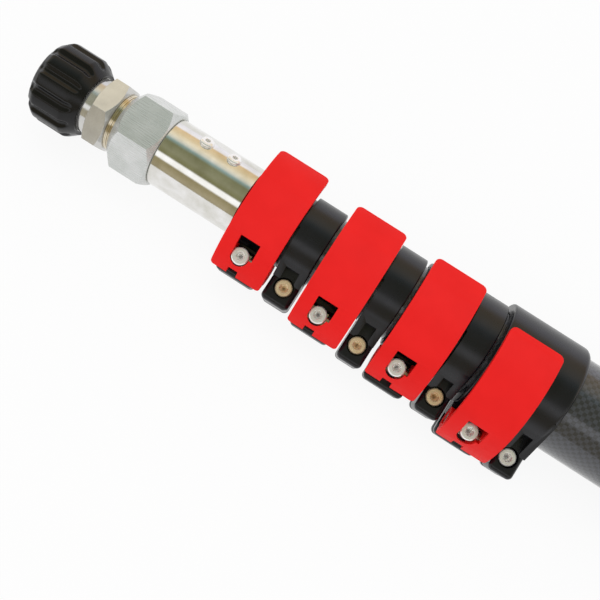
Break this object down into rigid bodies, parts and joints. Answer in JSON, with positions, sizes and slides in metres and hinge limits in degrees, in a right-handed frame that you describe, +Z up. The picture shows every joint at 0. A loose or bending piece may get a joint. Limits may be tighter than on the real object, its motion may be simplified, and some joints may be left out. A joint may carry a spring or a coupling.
{
  "type": "telescopic water-fed window cleaning pole",
  "caption": "Telescopic carbon fibre pole for water-fed window cleaning, collapsed, with red cam lever clamps and a metal hose tip with a black plastic swivel nut.",
  "frame": {"origin": "on the pole's axis, at the outer face of the base cap, where the hose goes in", "axes": "+X along the pole from the base to the tip coupling; +Z up with the collapsed pole lying on a floor on its base cap, largest clamp ring and largest clamp lug; +Y towards the clamps' screw lugs"},
  "size_m": [1.253, 0.0753, 0.0622],
  "materials": {
    "carbon_tube": "glossy",
    "clamp_black": "semi-gloss",
    "lever_red": "satin",
    "bush_plastic": "satin",
    "screw_zinc": "bright",
    "screw_zinc_gold": "bright",
    "pin_steel": "bright",
    "sleeve_chrome": "polished",
    "block_aluminium": "satin",
    "nickel_brass": "polished",
    "washer_steel": "bright",
    "knob_black": "semi-gloss",
    "seal_rubber": "matt",
    "cap_black": "matt",
    "brass_tail": "machined"
  },
  "bodies": {
    "section_5": {"base_cap": "cap_black", "hose_grommet": "seal_rubber", "tube_5": "carbon_tube", "clamp_body_4": "clamp_black", "band_screw_4": "screw_zinc", "band_nut_4": "screw_zinc", "barrel_pin_4": "pin_steel", "lever_screw_4": "screw_zinc", "lever_washer_4": "screw_zinc", "lever_nut_4": "screw_zinc"},
    "section_4": {"tube_4": "carbon_tube", "clamp_body_3": "clamp_black", "band_screw_3": "screw_zinc_gold", "band_nut_3": "screw_zinc", "barrel_pin_3": "pin_steel", "lever_screw_3": "screw_zinc", "lever_washer_3": "screw_zinc", "lever_nut_3": "screw_zinc"},
    "section_3": {"tube_3": "carbon_tube", "clamp_body_2": "clamp_black", "band_screw_2": "screw_zinc_gold", "band_nut_2": "screw_zinc", "barrel_pin_2": "pin_steel", "lever_screw_2": "screw_zinc", "lever_washer_2": "screw_zinc", "lever_nut_2": "screw_zinc"},
    "section_2": {"tube_2": "carbon_tube", "clamp_body_1": "clamp_black", "band_screw_1": "screw_zinc_gold", "band_nut_1": "screw_zinc", "barrel_pin_1": "pin_steel", "lever_screw_1": "screw_zinc", "lever_washer_1": "screw_zinc", "lever_nut_1": "screw_zinc"},
    "section_1": {"tube_1": "carbon_tube", "tip_sleeve": "sleeve_chrome", "sleeve_screws": "screw_zinc", "hex_block": "block_aluminium", "sealing_ring": "washer_steel", "lock_ring": "washer_steel", "hex_nipple": "nickel_brass", "coupling_o_ring": "seal_rubber", "retaining_ring": "pin_steel", "hose_tail": "brass_tail"},
    "mouth_1": {"guide_bush_1": "bush_plastic"},
    "latch_1": {"lever_1": "lever_red"},
    "mouth_2": {"guide_bush_2": "bush_plastic"},
    "latch_2": {"lever_2": "lever_red"},
    "mouth_3": {"guide_bush_3": "bush_plastic"},
    "latch_3": {"lever_3": "lever_red"},
    "mouth_4": {"guide_bush_4": "bush_plastic"},
    "latch_4": {"lever_4": "lever_red"},
    "coupling": {"coupling_nut": "nickel_brass", "coupling_knob": "knob_black"}
  },
  "joints": [
    {"name": "twist_4", "type": "hinge", "parent": "section_5", "child": "mouth_4", "pos_m": [0.9654, 0, 0], "axis": [1, 0, 0], "continuous": true},
    {"name": "slide_4", "type": "slide", "parent": "mouth_4", "child": "section_4", "axis": [1, 0, 0], "range_m": [0, 0.79]},
    {"name": "twist_3", "type": "hinge", "parent": "section_4", "child": "mouth_3", "pos_m": [1.0107, 0, 0], "axis": [1, 0, 0], "continuous": true},
    {"name": "slide_3", "type": "slide", "parent": "mouth_3", "child": "section_3", "axis": [1, 0, 0], "range_m": [0, 0.84]},
    {"name": "twist_2", "type": "hinge", "parent": "section_3", "child": "mouth_2", "pos_m": [1.0562, 0, 0], "axis": [1, 0, 0], "continuous": true},
    {"name": "slide_2", "type": "slide", "parent": "mouth_2", "child": "section_2", "axis": [1, 0, 0], "range_m": [0, 0.88]},
    {"name": "twist_1", "type": "hinge", "parent": "section_2", "child": "mouth_1", "pos_m": [1.1033, 0, 0], "axis": [1, 0, 0], "continuous": true},
    {"name": "slide_1", "type": "slide", "parent": "mouth_1", "child": "section_1", "axis": [1, 0, 0], "range_m": [0, 0.93]},
    {"name": "lever_hinge_1", "type": "hinge", "parent": "section_2", "child": "latch_1", "pos_m": [1.1174, 0.02699, -0.00108], "axis": [-1, 0, 0], "range_deg": [0, 77]},
    {"name": "lever_hinge_2", "type": "hinge", "parent": "section_3", "child": "latch_2", "pos_m": [1.0703, 0.03045, -0.00224], "axis": [-1, 0, 0], "range_deg": [0, 72]},
    {"name": "lever_hinge_3", "type": "hinge", "parent": "section_4", "child": "latch_3", "pos_m": [1.0248, 0.03131, -0.00252], "axis": [-1, 0, 0], "range_deg": [0, 68]},
    {"name": "lever_hinge_4", "type": "hinge", "parent": "section_5", "child": "latch_4", "pos_m": [0.9795, 0.0379, -0.00472], "axis": [-1, 0, 0], "range_deg": [0, 56]},
    {"name": "coupling_swivel", "type": "hinge", "parent": "section_1", "child": "coupling", "pos_m": [1.2288, 0, 0], "axis": [1, 0, 0], "continuous": true}
  ]
}
